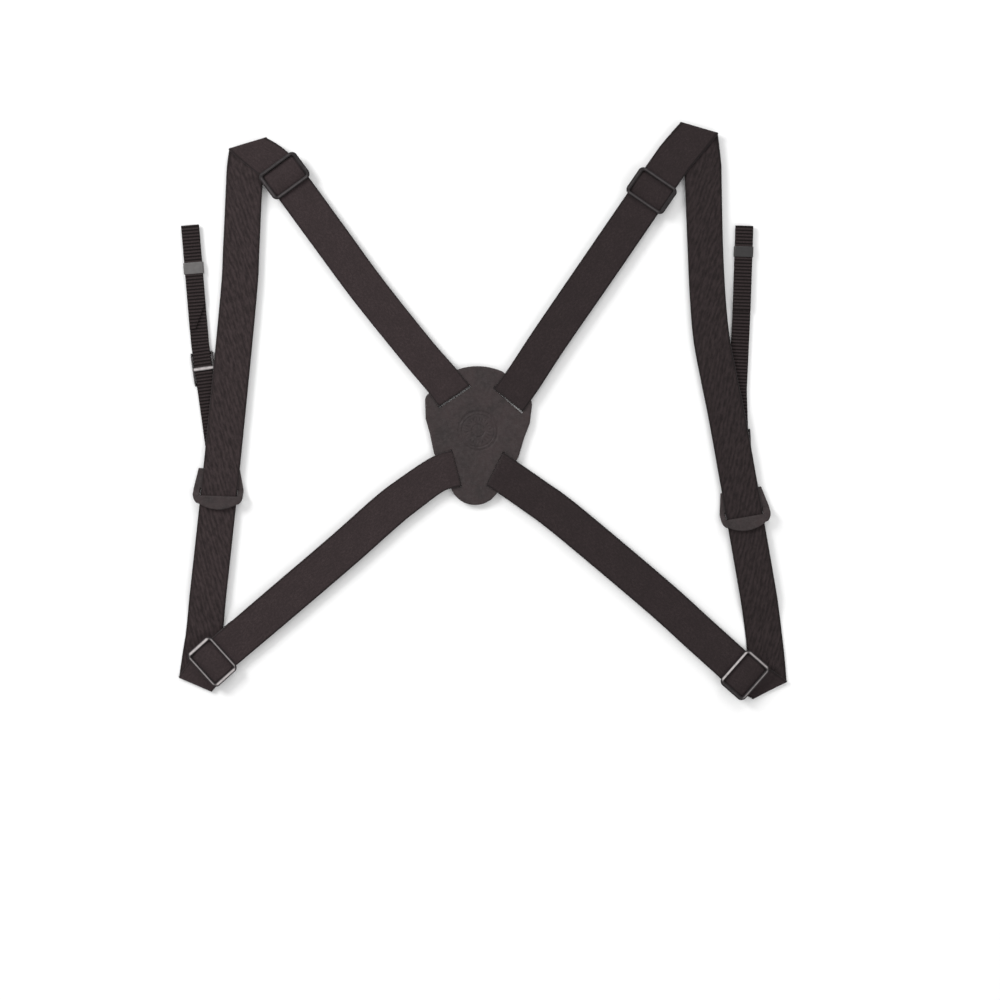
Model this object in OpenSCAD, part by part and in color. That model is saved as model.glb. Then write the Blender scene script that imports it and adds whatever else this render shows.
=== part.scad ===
// Crossed-strap harness for a binocular, laid flat with its outer face up.
// The plan origin is the middle of the outline, z = 0 is the surface it lies on.
// Each strap is a flat ribbon, given by a few stations along its middle.

/* [Elastic straps] */
// Thickness of the elastic strap
strap_t = 1.1; // [0.8:0.1:1.2]
// Width of the sewn-back layer under each diagonal
return_w = 24.4; // [20:0.2:24.4]
// Steps of the curve between two stations
curve_steps = 4; // [1:1:8]

/* [Leather] */
// Thickness of the back yoke
yoke_t = 2.9; // [2:0.1:2.9]
// Length of each slot in the yoke
slot_l = 27.6; // [26.4:0.2:28]
// Width of each slot in the yoke
slot_w = 2.1; // [1.8:0.1:2.4]
// Radius of the ring pressed into the yoke
medallion_r = 13; // [8:1:15]
// Thickness of the leather connector tabs
tab_t = 1.8; // [1.2:0.1:1.8]
// Half width of a connector tab at its slot
tab_half = 16.8; // [15.8:0.2:18]

/* [Strap sliders] */
// Outer size of a slider across the strap
slider_w = 29.4; // [29:0.2:32]
// Outer size of a slider along the strap
slider_l = 21; // [18:0.5:24]
// Width of the slider's outer bars
slider_bar = 2.2; // [1.6:0.2:3]
// Thickness of the slider's outer frame
slider_t = 1.6; // [1.2:0.1:2]

/* [Narrow webbing] */
// Width of the narrow webbing
web_w = 12; // [10:0.5:12]
// Thickness of the narrow webbing
web_t = 0.85; // [0.6:0.05:0.85]
// Outer size of the three-bar slides, along the webbing
buckle_l = 22.5; // [18:0.5:24]
// Outer size of the three-bar slides, across the webbing
buckle_w = 15; // [14.6:0.1:16]

/* [Hidden] */
$fn = 48;

// Heights of the layers above the table
gap = 0.1;
return_z = 0.1;
return_t = 1.0;
yoke_z = return_z + return_t + gap;
main_z = yoke_z + yoke_t + gap;
front_z = main_z - gap - strap_t;
ring_z = main_z + strap_t + 0.15;
top_z = ring_z + slider_t;
bar_z = 1.3;
bar_t = 1.5;
web_z = 1.0;
tail_z = web_z + web_t + 0.2;
tail_flat = 3.8;
// Below the lower sliders the front straps run under them, and the diagonals come down to meet them
deep_z = return_z + strap_t + gap;
deep_bar_z = 2.2;
deep_bar_t = 1.0;
dive_y = -121;
dive_l = 20;

// The two lines where the wings leave the yoke, and the clearance at each
hinge_left = -40;
hinge_right = 35;
cut = 0.15;

// Stations: x, y, angle of the line across the strap, width. Outward is the angle plus 90.
UPPER_LEFT = [[-19.9, 12.2, 34, 25], [-28, 22.6, 37, 24.4], [-44.6, 42, 38, 24],
  [-76.7, 82.2, 36.6, 24.4], [-104, 119.4, 36.3, 24.8], [-132.3, 158, 36.3, 24.8],
  [-141, 167.5, 43, 24], [-156.7, 179.2, 17, 26.8]];
UPPER_RIGHT = [[17.6, 9.6, -39, 25], [27, 22.4, -35, 24.6], [44, 48.4, -34.4, 24.4],
  [78, 97.8, -34.4, 24.8], [112.4, 148, -34.4, 24.8], [128, 170.4, -35, 24.8],
  [144.1, 189.5, -16, 26.6]];
LOWER_LEFT = [[-18.8, -37.2, 105, 25], [-31, -41.4, 112, 24], [-51, -55.4, 123, 24.6],
  [-65, -66.5, 129, 25], [-93, -91.4, 130.6, 25], [-137, -129, 130.6, 25],
  [-180.7, -166.2, 130.6, 24.4], [-191.9, -180.7, 157, 24.4]];
LOWER_RIGHT = [[9.1, -38, -116.5, 25], [18, -44.2, -124, 24.6], [34, -55.3, -127, 24.6],
  [56, -71.6, -129.5, 25], [115.5, -121.6, -132, 25], [145, -148.2, -132, 25],
  [174.7, -175, -132, 25], [191.3, -184.7, -153.4, 26.3]];
FRONT_LEFT = [[-156.7, 179.2, 17, 26.8], [-158.9, 160, -2, 24.8], [-159.9, 142, -3, 24.3],
  [-161.4, 109, -3.5, 24.4], [-163.4, 75.5, -5.6, 24.4], [-174.9, -41, -5.7, 24.4],
  [-186.7, -150, -6, 24.6], [-191.9, -180.7, -23, 24.4]];
FRONT_RIGHT = [[144.1, 189.5, -16, 26.6], [146.8, 165, -1, 25], [147.4, 145, 2, 24.4],
  [148.5, 110, 2, 23.8], [150.2, 75.5, 3.5, 24], [152.8, 48.6, 6, 24.4],
  [157.8, 22, 10, 24.4], [164.6, -12, 9.8, 24.6], [183.6, -120, 9.8, 24.6],
  [188, -150, 5, 24.4], [191.3, -184.7, 26.6, 26.3]];

// Middles of the sliders and the angle across the strap there
SLIDER_UL = [-132.3, 158, 36.3];
SLIDER_UR = [112.4, 148, -34.4];
SLIDER_LL = [-180.4, -166, 132];
SLIDER_LR = [174.7, -175, -131.4];
anchor_l = 26;

// Tab slots: middle and angle
TAB_LEFT = [-176.8, -54.2, -2];
TAB_RIGHT = [175.2, -68.2, 9.8];
tab_top = 17;
tab_top_half = 13.8;
// How far the lip reaches below the slot, and the radius of its lower edge
tab_lip = 10.5;
tab_lip_r = 23;
tab_slot = 1.2;
tab_slot_half = 14.3;

// Narrow webbing in plan: at the tab's stitching, at the bend or hinge, and at the loop's end
WEB_LEFT = [[-176.1, -47], [-189.1, 46], [-195.7, 124.6]];
WEB_RIGHT = [[173, -62], [170.4, 15], [172.6, 62], [174.7, 124.2]];
KEEPER_LEFT = [-193.3, 96.7];
KEEPER_RIGHT = [174.1, 107.7];
keeper_wall = 0.55;

// Smooth curve through the stations, each value on its own
function at(st, i) = st[max(0, min(len(st) - 1, i))];
function catmull(a, b, c, d, u) =
  0.5 * (2 * b + (c - a) * u + (2 * a - 5 * b + 4 * c - d) * u * u + (3 * b - a - 3 * c + d) * u * u * u);
function inner(st) = [for (i = [0 : len(st) - 3]) for (k = [0 : curve_steps - 1])
  catmull(at(st, i - 1), at(st, i), at(st, i + 1), at(st, min(i + 2, len(st) - 2)), k / curve_steps)];
function smooth(st) = concat(inner(st), [st[len(st) - 2], st[len(st) - 1]]);
// The front straps end in a fold at both ends, so both end stretches stay straight
function both(st) = concat([st[0]], smooth([for (i = [1 : len(st) - 1]) st[i]]));
function edge(st, side) = [for (s = st) let (h = side * s[3] / 2)
  [s[0] + h * cos(s[2]), s[1] + h * sin(s[2])]];
function rev(v) = [for (i = [len(v) - 1 : -1 : 0]) v[i]];
function heading(a, b) = atan2(b[1] - a[1], b[0] - a[0]);
function dist(a, b) = norm([b[0] - a[0], b[1] - a[1]]);
function arc(c, r, a0, a1, n) = [for (i = [0 : n]) let (a = a0 + (a1 - a0) * i / n) c + r * [cos(a), sin(a)]];
function narrow(st, w) = [for (s = st) [s[0], s[1], s[2], min(s[3], w)]];

// A band of height t that steps from height a to height b between x0 and x1, seen from its side
function step(x0, x1, a, b, t) = [[-300, a], [x0, a], [x1, b], [300, b],
  [300, b + t], [x1, b + t], [x0, a + t], [-300, a + t]];

module ribbon(st, z, t) {
  translate([0, 0, z]) linear_extrude(t) polygon(concat(edge(st, -1), rev(edge(st, 1))));
}

// Everything outside the hinge lines, or between them
module wing_side() {
  intersection() {
    children();
    union() {
      translate([-400 + hinge_left - cut, -300, -1]) cube([400, 600, 20]);
      translate([hinge_right + cut, -300, -1]) cube([400, 600, 20]);
    }
  }
}

module yoke_side() {
  intersection() {
    children();
    translate([hinge_left + cut, -300, -1]) cube([hinge_right - hinge_left - 2 * cut, 600, 20]);
  }
}

// Local frame of a station: x across the strap, y outward
module placed(p) {
  translate([p[0], p[1], 0]) rotate(p[2]) children();
}

module rounded(w, l, r) {
  square([w - 2 * r, l], center = true);
  square([w, l - 2 * r], center = true);
  for (sx = [-1, 1]) for (sy = [-1, 1]) translate([sx * (w / 2 - r), sy * (l / 2 - r)]) circle(r);
}

// --- the back yoke and the four loops of strap that hold it ---
half_yoke = concat(
  arc([0, 5.4], 41, 90, 68, 4), arc([29.6, 22], 6.2, 52, -12, 6),
  [[34.9, 10], [31.6, 0], [28.3, -13], [22.5, -24]], arc([0, -29.2], 17.2, -24, -90, 8));
yoke_outline = concat(half_yoke, rev([for (p = half_yoke) [-p[0], p[1]]]));

module yoke() {
  color([0.25, 0.23, 0.23]) difference() {
    translate([-3.9, -15.2, yoke_z]) rotate(-2.5) linear_extrude(yoke_t) polygon(yoke_outline);
    for (p = [UPPER_LEFT[0], UPPER_RIGHT[0], LOWER_LEFT[0], LOWER_RIGHT[0]])
      placed(p) translate([-slot_l / 2, -slot_w, 0]) cube([slot_l, slot_w, 10]);
    translate([-3.2, -12, yoke_z + yoke_t - 0.5]) difference() {
      cylinder(r = medallion_r, h = 2);
      translate([0, 0, -1]) cylinder(r = medallion_r - 1.2, h = 4);
    }
  }
}

module over(st) {
  color([0.23, 0.2, 0.2]) yoke_side() difference() {
    ribbon(smooth(st), main_z, strap_t);
    placed(st[0]) translate([-20, -40.2, 0]) cube([40, 40, 10]);
  }
}

module through(st) {
  color([0.23, 0.2, 0.2]) placed(st[0]) translate([-st[0][3] / 2, -0.2 - strap_t, return_z])
    cube([st[0][3], strap_t, main_z + strap_t - return_z]);
}

module under(st) {
  color([0.2, 0.17, 0.17]) yoke_side() difference() {
    ribbon(smooth(narrow(st, return_w)), return_z, return_t);
    placed(st[0]) translate([-20, -40.2, 0]) cube([40, 40, 10]);
  }
}

// --- the elastic of each wing ---
module strap(st) {
  color([0.23, 0.2, 0.2]) wing_side() ribbon(smooth(st), main_z, strap_t);
}

module deep_strap(st, p) {
  color([0.23, 0.2, 0.2]) wing_side() intersection() {
    ribbon(smooth(st), return_z, main_z + strap_t);
    placed(p) rotate([90, 0, 90]) translate([0, 0, -60])
      linear_extrude(120) polygon(step(7.5, 13, main_z, deep_z, strap_t));
  }
}

module front(st) {
  color([0.21, 0.18, 0.18]) intersection() {
    ribbon(both(st), 0, main_z);
    translate([-300, 0, 0]) rotate([90, 0, 90])
      linear_extrude(600) polygon(step(dive_y - dive_l, dive_y, return_z, front_z, strap_t));
  }
}

// The rounded crease where the diagonal turns under and becomes the front strap
module crease(s, side, z) {
  r = strap_t + gap / 2;
  color([0.21, 0.18, 0.18]) translate([s[0], s[1], z + r]) rotate(s[2]) rotate([0, 90, 0])
    intersection() {
      cylinder(r = r, h = s[3], center = true);
      translate([-5, side > 0 ? 0 : -10, -50]) cube([10, 10, 100]);
    }
}

// The end of the elastic comes back under the diagonal as far as its slider
module return_layer(st, p) {
  color([0.2, 0.17, 0.17]) wing_side() difference() {
    ribbon(smooth(narrow(st, return_w)), return_z, return_t);
    placed(p) translate([-40, -anchor_l - cut, -1]) cube([80, 150, 10]);
  }
}

// --- the sliders ---
module slider(p, low, thick) {
  wall = slider_w / 2 - 13.1;
  color([0.33, 0.32, 0.32]) placed(p) {
    translate([0, 0, ring_z]) linear_extrude(slider_t) difference() {
      rounded(slider_w, slider_l, 3);
      rounded(slider_w - 5, slider_l - 2 * slider_bar, 1);
    }
    for (s = [-1, 1]) translate([s * (slider_w / 2 - wall / 2), -2.25, (low + ring_z) / 2])
      cube([wall, 6.5, ring_z - low], center = true);
    translate([-slider_w / 2, -2, low]) cube([slider_w, 4, thick]);
  }
}

// The sewn end of the elastic, seen from its side: around the centre bar and back on itself
anchor_side = [[-anchor_l, return_z], [3.4, return_z], [4.3, 1], [4.3, 3.1], [3.4, main_z - 0.2],
  [-3, main_z - 0.2], [-9, 2.2], [-anchor_l, 2.2]];
anchor_hole = [[-3.2, 1.15], [3, 1.15], [3, 2.95], [-3.2, 2.95]];
deep_side = [[-anchor_l, return_z], [0.5 - anchor_l, return_z], [-21, deep_z - 0.1], [3.4, deep_z - 0.1],
  [4.3, 1.9], [4.3, 3.4], [3.4, main_z - 0.2], [-3, main_z - 0.2], [-9, 3.1], [-22.9, 3.1], [-anchor_l, 1.9]];
deep_hole = [[-3.2, 2.1], [3, 2.1], [3, 3.3], [-3.2, 3.3]];

module anchor(p, side, hole) {
  color([0.22, 0.19, 0.19]) placed(p) translate([-return_w / 2, 0, 0]) rotate([90, 0, 90])
    linear_extrude(return_w) difference() {
      polygon(side);
      polygon(hole);
    }
}

module stitch(p, top) {
  color([0.12, 0.11, 0.11]) placed(p) translate([0, -anchor_l + 9, 0])
    for (y = [-5, 5]) for (i = [-5 : 5])
      translate([i * 2, y, top + 0.17]) cube([1.4, 0.5, 0.3], center = true);
}

// --- the leather tabs and the narrow webbing ---
module tab(p) {
  color([0.25, 0.23, 0.23]) placed(p) {
    translate([0, 0, front_z - 0.2 - tab_t]) linear_extrude(tab_t)
      polygon([[-tab_half, -2], [-tab_slot_half, -2], [-tab_slot_half, tab_slot], [tab_slot_half, tab_slot],
        [tab_slot_half, -2], [tab_half, -2], [tab_half, 4], [tab_top_half, tab_top], [-tab_top_half, tab_top],
        [-tab_half, 4]]);
    translate([0, 0, main_z + 0.1]) linear_extrude(tab_t)
      polygon(concat([[-tab_half, 2]], arc([-tab_half + 8, -0.5], 8, 180, 232, 6),
        arc([0, tab_lip_r - tab_lip], tab_lip_r, 238, 302, 8), arc([tab_half - 8, -0.5], 8, 308, 360, 6),
        [[tab_half, 2], [tab_slot_half, 2], [tab_slot_half, -tab_slot], [-tab_slot_half, -tab_slot],
        [-tab_slot_half, 2]]));
    for (s = [-1, 1]) translate([s * (tab_half + tab_slot_half) / 2, 0, (front_z - 2 + main_z + 1.9) / 2])
      cube([tab_half - tab_slot_half, 4, main_z + 3.9 - front_z], center = true);
  }
}

// A straight length of webbing between two plan points
module web(a, b, z) {
  translate([a[0], a[1], z]) rotate(heading(a, b)) translate([0, -web_w / 2, 0])
    cube([dist(a, b), web_w, web_t]);
}

// Level under the tab for a length, then up a short ramp to the height of the slide's bars
module from_tab(plan, turn, rise) {
  intersection() {
    ribbon(plan, 0, web_z + web_t);
    translate([plan[0][0], plan[0][1], 0]) rotate(turn) translate([0, 30, 0]) rotate([90, 0, 0])
      linear_extrude(60) polygon(step(rise, rise + 6, return_z, web_z, web_t));
  }
}

// The point that lies a length before b on the way from a
function short(a, b, by) = a + (b - a) * (1 - by / dist(a, b));

module tab_web_left() {
  turn = heading(WEB_LEFT[0], WEB_LEFT[1]);
  color([0.18, 0.16, 0.16]) from_tab([concat(WEB_LEFT[0], [turn - 90, web_w]),
    concat(short(WEB_LEFT[0], WEB_LEFT[1], cut), [turn - 90, web_w])], turn, 12);
}

// Past the slide's travel the right webbing bends a little in plan
module tab_web_right() {
  start = WEB_RIGHT[0];
  bend = WEB_RIGHT[1];
  stop = short(bend, WEB_RIGHT[2], cut);
  low = heading(start, bend);
  high = heading(bend, stop);
  color([0.16, 0.14, 0.14]) from_tab([concat(start, [low - 90, web_w]),
    concat(bend, [(low + high) / 2 - 90, web_w]), concat(stop, [high - 90, web_w])], low, 12);
}

module tab_stitch(a, b) {
  color([0.1, 0.1, 0.1]) translate([a[0], a[1], 0]) rotate(heading(a, b)) for (i = [0 : 5])
    translate([1 + i * 1.8, 0, return_z + web_t + 0.02]) for (y = [-4.2, 4.2])
      translate([0, y, -0.01]) cube([1.2, 0.5, 0.03], center = true);
}

module web_slide(c, angle) {
  h = tail_z + web_t - 0.15 - return_z;
  color([0.5, 0.5, 0.5]) translate([c[0], c[1], 0]) rotate(angle) {
    for (s = [-1, 1]) translate([s * (buckle_w / 2 - 0.5), 0, return_z + h / 2])
      cube([1, buckle_l, h], center = true);
    for (s = [-1, 1]) translate([0, s * (buckle_l / 2 - 1.2), return_z + 0.4])
      cube([buckle_w, 2.4, 0.8], center = true);
    translate([0, 0, web_z + web_t + 0.1 + 0.4]) cube([buckle_w, 2.6, 0.8], center = true);
  }
}

module lug_back(a, b) {
  color([0.18, 0.16, 0.16]) web(short(b, a, cut), b, web_z);
}

module lug_fold(a, b) {
  r = (tail_z + web_t - web_z) / 2;
  color([0.18, 0.16, 0.16]) translate([b[0], b[1], web_z + r]) rotate(heading(a, b)) rotate([90, 0, 0])
    intersection() {
      cylinder(r = r, h = web_w, center = true);
      translate([0, -5, -50]) cube([10, 10, 100]);
    }
}

// The tail comes back over the front. A slant cuts its end off.
module lug_tail(a, b, length, slant) {
  color([0.18, 0.16, 0.16]) translate([b[0], b[1], tail_z]) rotate(heading(a, b) + 180)
    linear_extrude(web_t)
      polygon([
        [0, -web_w / 2], [0, web_w / 2], [length, web_w / 2],
        [length - slant, tail_flat - web_w / 2], [length - slant, -web_w / 2]
      ]);
}

module keeper(c, angle, w, l) {
  low = 0.35;
  high = tail_z + web_t + 0.05 + keeper_wall;
  color([0.45, 0.44, 0.44]) translate([c[0], c[1], low]) rotate(angle) difference() {
    translate([-w / 2, -l / 2, 0]) cube([w, l, high - low]);
    translate([-6.15, -l, keeper_wall]) cube([12.3, 2 * l, high - low - 2 * keeper_wall]);
  }
}

yoke();
over(UPPER_LEFT);  // over_upper_left
over(UPPER_RIGHT);  // over_upper_right
over(LOWER_LEFT);  // over_lower_left
over(LOWER_RIGHT);  // over_lower_right
through(UPPER_LEFT);  // through_upper_left
through(UPPER_RIGHT);  // through_upper_right
through(LOWER_LEFT);  // through_lower_left
through(LOWER_RIGHT);  // through_lower_right
under(UPPER_LEFT);  // under_upper_left
under(UPPER_RIGHT);  // under_upper_right
under(LOWER_LEFT);  // under_lower_left
under(LOWER_RIGHT);  // under_lower_right
strap(UPPER_LEFT);  // strap_upper_left
strap(UPPER_RIGHT);  // strap_upper_right
deep_strap(LOWER_LEFT, SLIDER_LL);  // strap_lower_left
deep_strap(LOWER_RIGHT, SLIDER_LR);  // strap_lower_right
front(FRONT_LEFT);  // strap_front_left
front(FRONT_RIGHT);  // strap_front_right
crease(FRONT_LEFT[0], 1, front_z);  // fold_upper_left
crease(FRONT_RIGHT[0], 1, front_z);  // fold_upper_right
crease(FRONT_LEFT[len(FRONT_LEFT) - 1], -1, return_z);  // fold_lower_left
crease(FRONT_RIGHT[len(FRONT_RIGHT) - 1], -1, return_z);  // fold_lower_right
return_layer(UPPER_LEFT, SLIDER_UL);  // return_upper_left
return_layer(UPPER_RIGHT, SLIDER_UR);  // return_upper_right
return_layer(LOWER_LEFT, SLIDER_LL);  // return_lower_left
return_layer(LOWER_RIGHT, SLIDER_LR);  // return_lower_right
slider(SLIDER_UL, bar_z, bar_t);  // slider_upper_left
slider(SLIDER_UR, bar_z, bar_t);  // slider_upper_right
slider(SLIDER_LL, deep_bar_z, deep_bar_t);  // slider_lower_left
slider(SLIDER_LR, deep_bar_z, deep_bar_t);  // slider_lower_right
anchor(SLIDER_UL, anchor_side, anchor_hole);  // anchor_upper_left
anchor(SLIDER_UR, anchor_side, anchor_hole);  // anchor_upper_right
anchor(SLIDER_LL, deep_side, deep_hole);  // anchor_lower_left
anchor(SLIDER_LR, deep_side, deep_hole);  // anchor_lower_right
stitch(SLIDER_UL, 2.2);  // stitch_upper_left
stitch(SLIDER_UR, 2.2);  // stitch_upper_right
stitch(SLIDER_LL, 3.1);  // stitch_lower_left
stitch(SLIDER_LR, 3.1);  // stitch_lower_right
tab(TAB_LEFT);  // tab_left
tab(TAB_RIGHT);  // tab_right
tab_web_left();
tab_web_right();
tab_stitch(WEB_LEFT[0], WEB_LEFT[1]);  // tab_stitch_left
tab_stitch(WEB_RIGHT[0], WEB_RIGHT[1]);  // tab_stitch_right
web_slide([-186.7, 29.6], 8);  // web_slide_left
web_slide([171.7, -22], 2);  // web_slide_right
lug_back(WEB_LEFT[1], WEB_LEFT[2]);  // lug_back_left
lug_back(WEB_RIGHT[2], WEB_RIGHT[3]);  // lug_back_right
lug_fold(WEB_LEFT[1], WEB_LEFT[2]);  // lug_fold_left
lug_fold(WEB_RIGHT[2], WEB_RIGHT[3]);  // lug_fold_right
lug_tail(WEB_LEFT[1], WEB_LEFT[2], 51, -18);  // lug_tail_left
lug_tail(WEB_RIGHT[2], WEB_RIGHT[3], 56, 0);  // lug_tail_right
keeper(KEEPER_LEFT, 4.8, 13.7, 7.7);  // keeper_left
keeper(KEEPER_RIGHT, -1.9, 13.2, 7);  // keeper_right
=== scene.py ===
"""Looks of a crossed elastic harness for a binocular, laid flat on a pale table.

Lengths inside the shape functions are millimetres in the row frame, and become metres when a mesh is made.
Strap stations are (x, y, angle of the line across the strap, width), and outward is the angle plus 90."""

import bmesh
import bpy
import numpy as np
from bpy.props import FloatProperty, FloatVectorProperty, IntProperty, PointerProperty
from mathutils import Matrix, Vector


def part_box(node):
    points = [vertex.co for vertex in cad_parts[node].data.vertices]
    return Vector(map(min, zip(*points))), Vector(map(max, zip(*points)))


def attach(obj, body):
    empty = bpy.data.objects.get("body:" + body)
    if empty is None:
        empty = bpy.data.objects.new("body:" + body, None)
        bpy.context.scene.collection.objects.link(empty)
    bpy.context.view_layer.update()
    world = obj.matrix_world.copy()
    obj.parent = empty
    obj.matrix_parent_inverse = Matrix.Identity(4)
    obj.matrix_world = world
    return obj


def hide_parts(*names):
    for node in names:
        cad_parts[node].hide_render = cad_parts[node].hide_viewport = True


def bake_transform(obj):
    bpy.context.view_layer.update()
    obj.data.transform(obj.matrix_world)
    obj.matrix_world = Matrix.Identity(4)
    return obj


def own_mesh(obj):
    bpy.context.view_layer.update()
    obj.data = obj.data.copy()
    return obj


bl_info = {
    "name": "Crossed Harness",
    "version": (1, 0, 0),
    "blender": (4, 5, 0),
    "location": "View3D > Sidebar > Harness",
    "description": "Builds the elastic, leather, webbing and sliders of a crossed harness",
    "category": "Add Mesh",
}

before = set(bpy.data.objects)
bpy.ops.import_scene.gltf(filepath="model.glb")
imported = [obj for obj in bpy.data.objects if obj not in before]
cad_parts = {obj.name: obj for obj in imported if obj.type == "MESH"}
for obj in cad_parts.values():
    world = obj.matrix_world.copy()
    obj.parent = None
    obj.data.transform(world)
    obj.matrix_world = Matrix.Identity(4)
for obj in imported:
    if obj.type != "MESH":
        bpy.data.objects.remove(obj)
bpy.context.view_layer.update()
MM = 0.001

# --- plan of the straps, in millimetres, as the solids have it ---

UPPER = {
    "left": [(-19.9, 12.2, 34, 25), (-28, 22.6, 37, 24.4), (-44.6, 42, 38, 24), (-76.7, 82.2, 36.6, 24.4),
             (-104, 119.4, 36.3, 24.8), (-132.3, 158, 36.3, 24.8), (-141, 167.5, 43, 24),
             (-156.7, 179.2, 17, 26.8)],
    "right": [(17.6, 9.6, -39, 25), (27, 22.4, -35, 24.6), (44, 48.4, -34.4, 24.4), (78, 97.8, -34.4, 24.8),
              (112.4, 148, -34.4, 24.8), (128, 170.4, -35, 24.8), (144.1, 189.5, -16, 26.6)],
}
LOWER = {
    "left": [(-18.8, -37.2, 105, 25), (-31, -41.4, 112, 24), (-51, -55.4, 123, 24.6), (-65, -66.5, 129, 25),
             (-93, -91.4, 130.6, 25), (-137, -129, 130.6, 25), (-180.7, -166.2, 130.6, 24.4),
             (-191.9, -180.7, 157, 24.4)],
    "right": [(9.1, -38, -116.5, 25), (18, -44.2, -124, 24.6), (34, -55.3, -127, 24.6),
              (56, -71.6, -129.5, 25), (115.5, -121.6, -132, 25), (145, -148.2, -132, 25),
              (174.7, -175, -132, 25), (191.3, -184.7, -153.4, 26.3)],
}
FRONT = {
    "left": [(-156.7, 179.2, 17, 26.8), (-158.9, 160, -2, 24.8), (-159.9, 142, -3, 24.3),
             (-161.4, 109, -3.5, 24.4), (-163.4, 75.5, -5.6, 24.4), (-174.9, -41, -5.7, 24.4),
             (-186.7, -150, -6, 24.6), (-191.9, -180.7, -23, 24.4)],
    "right": [(144.1, 189.5, -16, 26.6), (146.8, 165, -1, 25), (147.4, 145, 2, 24.4), (148.5, 110, 2, 23.8),
              (150.2, 75.5, 3.5, 24), (152.8, 48.6, 6, 24.4), (157.8, 22, 10, 24.4), (164.6, -12, 9.8, 24.6),
              (183.6, -120, 9.8, 24.6), (188, -150, 5, 24.4), (191.3, -184.7, 26.6, 26.3)],
}
SLIDER_ANGLE = {"upper_left": 36.3, "upper_right": -34.4, "lower_left": 132.0, "lower_right": -131.4}
TAB_PLACE = {"left": (-176.8, -54.2, -2.0), "right": (175.2, -68.2, 9.8)}
WEBBING = {
    "left": [(-176.1, -47), (-189.1, 46), (-195.7, 124.6)],
    "right": [(173, -62), (170.4, 15), (172.6, 62), (174.7, 124.2)],
}
TAIL = {"left": (69.0, 18.0), "right": (56.0, 0.0)}
TAB_SHIFT = {"left": 0.45, "right": -0.7}
BUCKLE_ANGLE = {"left": 8.0, "right": 2.0}
KEEPER_ANGLE = {"left": 4.8, "right": -1.9}
HINGE_X = {"left": -40.0, "right": 35.0}
# How strong the painted highlight on each side of a slider is, standing in for the lamp's glints: outer bar,
# left rail, inner bar, right rail
GLINTS = {"upper_left": (0.6, 0.8, 0.9, 0.2), "upper_right": (0.8, 0.5, 0.8, 0.2),
          "lower_left": (0.6, 1.2, 0.6, 1.4), "lower_right": (0.5, 0.8, 1.5, 0.05)}
SLOT_GAPS = {"upper_left": (1.1, 1.35), "upper_right": (0.15, 1.3), "lower_left": (0.05, 0.12),
             "lower_right": (0.1, 0.05)}
SIDES = ("left", "right")
CORNERS = ("upper_left", "upper_right", "lower_left", "lower_right")
YOKE_PLACE = (-3.9, -15.2, -2.5)
MEDALLION = (-3.2, -12.0)


def node_box(name):
    """Low and high corner of a CAD node in millimetres."""
    low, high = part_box(name)
    return np.array(low) / MM, np.array(high) / MM


def level(name):
    """Middle height and thickness of a flat CAD node, in millimetres."""
    low, high = node_box(name)
    return (low[2] + high[2]) / 2, high[2] - low[2]


def middle(name):
    low, high = node_box(name)
    return (low + high) / 2


def slider_place(corner):
    """Where a slider lies, and the angle of its bars."""
    return (*middle("slider_" + corner)[:2], SLIDER_ANGLE[corner])


MAIN_Z, STRAP_T = level("strap_upper_left")
FRONT_Z = node_box("strap_front_left")[1][2] - STRAP_T / 2
FRONT_DEEP = node_box("strap_front_left")[0][2] + STRAP_T / 2
MAIN_DEEP = node_box("strap_lower_left")[0][2] + STRAP_T / 2
UNDER_Z, UNDER_T = level("under_upper_left")
SLIDER_SIZE = (29.4, 21.0)
TAB_HALF = 16.8


# --- settings shown in the sidebar ---


class ElasticSettings(bpy.types.PropertyGroup):
    face: FloatVectorProperty(name="Face", description="Colour of the knitted face", subtype="COLOR",
                              default=(0.0335, 0.0235, 0.0245), min=0, max=1)
    reverse: FloatVectorProperty(name="Reverse", description="Colour of the ribbed reverse", subtype="COLOR",
                                 default=(0.027, 0.0192, 0.0198), min=0, max=1)
    # Painted shade: the whole right elastic is darkened, standing in for the weaker light on the right.
    right: FloatProperty(name="Right Shade", description="Brightness of the right elastic against the left",
                         default=0.76, min=0.1, max=2)
    rib_pitch: FloatProperty(name="Rib Pitch", description="Distance between the slanted ribs of the reverse",
                             default=0.0029, unit="LENGTH")
    slope: FloatProperty(name="Slope", description="Slant of the ribs against the strap's length",
                         default=0.4)
    ripple: FloatProperty(name="Ripple", description="Height of the slow waves that the elastic keeps",
                          default=0.00009, unit="LENGTH")
    samples: IntProperty(name="Across", description="Points across the strap", default=17, min=9, max=41)


class LeatherSettings(bpy.types.PropertyGroup):
    colour: FloatVectorProperty(name="Leather", description="Colour of the leather", subtype="COLOR",
                                default=(0.031, 0.0248, 0.025), min=0, max=1)
    warm: FloatVectorProperty(name="Warm Patches", description="Colour of the leather's warmer patches",
                              subtype="COLOR", default=(0.039, 0.028, 0.0285), min=0, max=1)
    grain: FloatProperty(name="Grain", description="Size of the leather's grain", default=0.0011,
                         unit="LENGTH")
    edge: FloatProperty(name="Edge", description="Radius of the leather's cut edges", default=0.0009,
                        unit="LENGTH")
    medallion: FloatProperty(name="Medallion", description="Radius of the ring pressed into the yoke",
                             default=0.013, unit="LENGTH")
    ticks: IntProperty(name="Ticks", description="Short marks pressed inside the ring", default=24,
                       min=8, max=60)


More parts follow.
